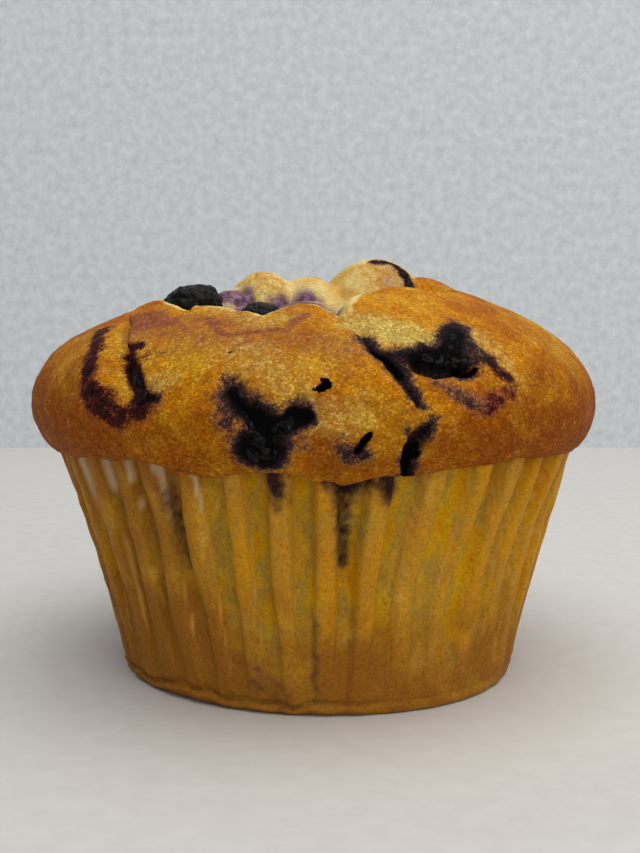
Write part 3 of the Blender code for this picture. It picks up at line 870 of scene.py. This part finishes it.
# Burst berries, pressed open into the crust: middle on the crown map, radius of the body, how
# proud it stands, and its arms: direction and spread in degrees, and reach past the body
BURST = {
    "berry_front": ((-7, -45), 2.0, 0.02, ((120, 14, 4.6), (30, 17, 4.4), (-150, 40, 1.2), (-30, 40, 1.0))),
    "berry_right": ((16, -32), 1.3, 0.0, ((90, 18, 3.6), (195, 20, 3.4), (30, 24, 2.0))),
    "berry_left": ((-21.5, -33), 0.8, 0.1, ((100, 26, 1.6), (-70, 26, 2.2))),
    "berry_crack": ((13.5, -45.5), 0.8, 0.0, ((80, 30, 2.2), (-75, 30, 2.2))),
}
SKIN_DEPTH = 1.3  # of a burst berry, below the crust
SKIN_COLUMNS = 180
UNDER_ROWS, UPPER_ROWS = 8, 56  # of a burst berry's underside and its upper side
WRINKLE = 0.13
BERRY_COLUMNS, BERRY_ROWS = 150, 80
BERRY_POWER = 2.5  # squarer than a plain ellipsoid, which has 2
# Shares of a whole berry's half size: its mean skin, the height of its creases, and of its lumps
BERRY_FILL, BERRY_CREASES, BERRY_LUMPS = 0.95, 0.034, 0.06


def make_burst_berry(node, middle, body, proud, arms, material, seed):
    """Burst skin lying in the crust, turn by share of a star-shaped outline on the crown map: a
    round body plus arms that fade to their sides. Its upper side is the crust plus wrinkles, and
    dives under the crust at the outline; its underside lies a little deeper.
    """
    turn = np.linspace(0, 2 * math.pi, SKIN_COLUMNS, endpoint=False)
    outline = np.full(turn.shape, body)
    for towards, spread, reach in arms:
        outline += reach * bell(degrees_from(np.degrees(turn), towards), 0, spread)
    shares = np.concatenate([np.linspace(0.12, 0.96, UNDER_ROWS), np.linspace(1, 0.02, UPPER_ROWS)])
    under = np.arange(len(shares)) < UNDER_ROWS
    ray = np.stack([np.cos(turn), np.sin(turn)], -1) * outline[:, None]
    spot = (np.array(middle) + shares[:, None, None] * ray).reshape(-1, 2)
    share = np.repeat(shares, len(turn))
    direction = heading(*off_map(spot))
    crust = crown_reach(*off_map(spot))
    on_crust = direction * crust[:, None]
    strands = crease_noise(on_crust * (1.6, 1, 0.7), 1.1, seed)
    strands += 0.7 * crease_noise(on_crust, 0.6, seed + 1)
    lift = proud + WRINKLE * strands - 0.8 * ramp(share, 0.75, 1)
    lift = np.where(np.repeat(under, len(turn)), -SKIN_DEPTH, lift)
    rings = (CROWN_CENTRE + direction * (crust + lift)[:, None]).reshape(len(shares), len(turn), 3)
    poles = rings[0].mean(axis=0), rings[-1].mean(axis=0)
    grid_piece(node + "_skin", rings, *poles, {}, material, "berry_skin", node)


def make_whole_berry(node, material, seed):
    """A wrinkled skin, turn by slope: a slightly squared ellipsoid in the berry's own box, drawn
    in along creases that run down it.
    """
    low, high = (in_mm(corner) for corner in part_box(node))
    centre, half = (low + high) / 2, (high - low) / 2
    turn, slope = np.meshgrid(
        np.linspace(0, 2 * math.pi, BERRY_COLUMNS, endpoint=False),
        np.linspace(-math.pi / 2, math.pi / 2, BERRY_ROWS + 2)[1:-1],
    )
    unit = np.stack([np.cos(turn) * np.cos(slope), np.sin(turn) * np.cos(slope), np.sin(slope)], -1)
    flat = unit.reshape(-1, 3)
    squared = (np.abs(flat) ** BERRY_POWER).sum(axis=1, keepdims=True) ** (1 / BERRY_POWER)
    solid = flat / squared * half
    creases = crease_noise(solid * (1, 1, 0.35) + seed, 1.3, seed)
    creases += 0.5 * crease_noise(solid, 0.7, seed + 1)
    grown = BERRY_FILL + BERRY_CREASES * creases + BERRY_LUMPS * layered_noise(solid, 3, 2, seed + 2)
    rings = (centre + solid * grown[:, None]).reshape(BERRY_ROWS, BERRY_COLUMNS, 3)
    poles = rings[0].mean(axis=0), rings[-1].mean(axis=0)
    grid_piece(node + "_skin", rings, *poles, {}, material, "berry_skin", node)


# ---------------------------------------------------------------- room, lights and camera

# Room sizes and the eye's place are in metres
ROOM_SIDE = 3
FLOOR_FRONT = -1.5
WALL_BACK = 0.24
WALL_TOP = 2.4
DAYLIGHT = 0.33
LENS = 48.5
EYE = (0.0005, -0.154, 0.046)
EYE_TIP = 5.6  # degrees down


def matt_board(name, colour, other, size_mm):
    """Matt painted board: a pale colour, faintly clouded."""
    material, tree, shader, place = new_material(name)
    cloudy = add_node(tree, "ShaderNodeTexNoise",
                      {"Vector": place, "Scale": 1 / (size_mm * MM), "Detail": 4, "Roughness": 0.6})
    tone = add_node(tree, "ShaderNodeMix", {0: cloudy, 6: colour, 7: other}, data_type="RGBA")
    tree.links.new(in_use(tone), shader.inputs["Base Color"])
    shader.inputs["Roughness"].default_value = 0.8
    return material


def plane(name, corners, material):
    """A flat four-cornered board that isn't part of the muffin."""
    mesh = bpy.data.meshes.new(name)
    mesh.from_pydata(corners, [], [(0, 1, 2, 3)])
    mesh.materials.append(material)
    obj = bpy.data.objects.new(name, mesh)
    bpy.context.scene.collection.objects.link(obj)


def area_light(name, place, aim, width, depth, power, colour):
    """A soft rectangular lamp at a place, turned towards its aim."""
    light = bpy.data.lights.new(name, "AREA")
    light.shape = "RECTANGLE"
    light.size, light.size_y = width, depth
    light.energy = power
    light.color = linear(colour)[:3]
    obj = bpy.data.objects.new(name, light)
    obj.location = place
    obj.rotation_euler = (Vector(aim) - Vector(place)).to_track_quat("-Z", "Y").to_euler()
    bpy.context.scene.collection.objects.link(obj)


def make_room():
    """A pale floor, a pale wall close behind the muffin, soft daylight and two large lamps."""
    floor = matt_board("floor_board", "#DFDEDC", "#CDCCC9", size_mm=3)
    wall = matt_board("wall_board", "#F4F8FC", "#B2BBC4", size_mm=3)
    left_front, right_front = (-ROOM_SIDE, FLOOR_FRONT, 0), (ROOM_SIDE, FLOOR_FRONT, 0)
    left_back, right_back = (-ROOM_SIDE, WALL_BACK, 0), (ROOM_SIDE, WALL_BACK, 0)
    left_top, right_top = (-ROOM_SIDE, WALL_BACK, WALL_TOP), (ROOM_SIDE, WALL_BACK, WALL_TOP)
    plane("floor", [left_front, right_front, right_back, left_back], floor)
    plane("backdrop", [left_back, right_back, right_top, left_top], wall)
    world = bpy.data.worlds.new("soft_daylight")
    bpy.context.scene.world = world
    world.use_nodes = True
    background = world.node_tree.nodes["Background"]
    background.inputs["Color"].default_value = linear("#DDE6F0")
    background.inputs["Strength"].default_value = DAYLIGHT
    area_light("overhead", place=(0.12, -0.14, 0.75), aim=(0, 0, 0.03), width=1.0, depth=0.8,
               power=5.2, colour="#FFFAF2")
    area_light("front_fill", place=(0.45, -0.8, 0.4), aim=(0, 0, 0.02), width=0.6, depth=0.5,
               power=1.7, colour="#FFF2E0")


def make_camera():
    """A camera close in front of the muffin, just below its top, and tipped down a little."""
    lens = bpy.data.cameras.new("camera")
    lens.lens = LENS
    lens.sensor_width = 36
    lens.clip_start = 0.005
    camera = bpy.data.objects.new("camera", lens)
    camera.location = EYE
    camera.rotation_euler = (math.radians(90 - EYE_TIP), 0, 0)
    bpy.context.scene.collection.objects.link(camera)
    bpy.context.scene.camera = camera


def main():
    """Builds the muffin, its room and its camera."""
    crumb, paper, skin = baked_crumb(), greaseproof_paper(), berry_skin()
    make_cake(crumb)
    make_case(paper)
    berries = sorted(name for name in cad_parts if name.startswith("berry_"))
    for number, node in enumerate(berries):
        seed = 100 + 10 * number
        if node in BURST:
            make_burst_berry(node, *BURST[node], skin, seed)
        else:
            make_whole_berry(node, skin, seed)
    make_room()
    make_camera()
    bpy.context.scene.view_settings.view_transform = "Standard"


main()
